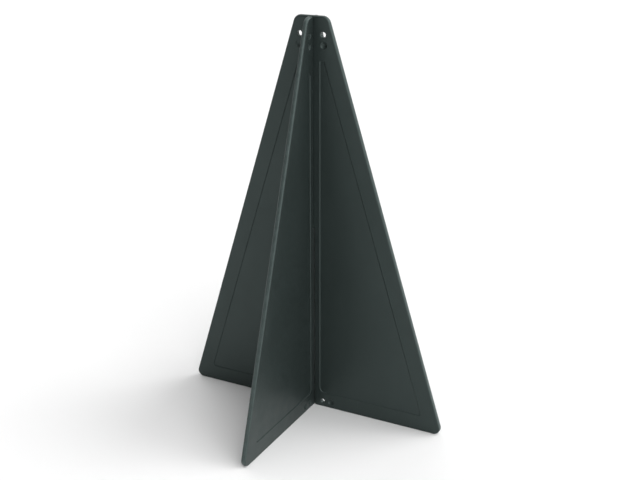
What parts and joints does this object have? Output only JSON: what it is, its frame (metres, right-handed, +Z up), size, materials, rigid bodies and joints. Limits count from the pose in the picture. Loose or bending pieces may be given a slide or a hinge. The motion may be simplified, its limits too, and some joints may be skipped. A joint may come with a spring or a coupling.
{
  "type": "collapsible day-signal cone",
  "caption": "Apex-up black day-signal cone for a small boat: flat tapered panels that slot together crosswise and pull apart to stow flat.",
  "frame": {"origin": "centre of the footprint, on the upright axis at the level of the base edges", "axes": "+Z up along the axis towards the apex; X across the cross panel; Y across the base panel"},
  "size_m": [0.3462, 0.346, 0.49],
  "materials": {
    "moulded_black": "satin moulded plastic, greenish charcoal black"
  },
  "bodies": {
    "base": {"base_panel": "moulded_black"},
    "cross": {"cross_panel": "moulded_black"}
  },
  "joints": [
    {"name": "lift_off", "type": "slide", "parent": "base", "child": "cross", "axis": [0, 0, 1], "range_m": [0, 0.251]}
  ]
}
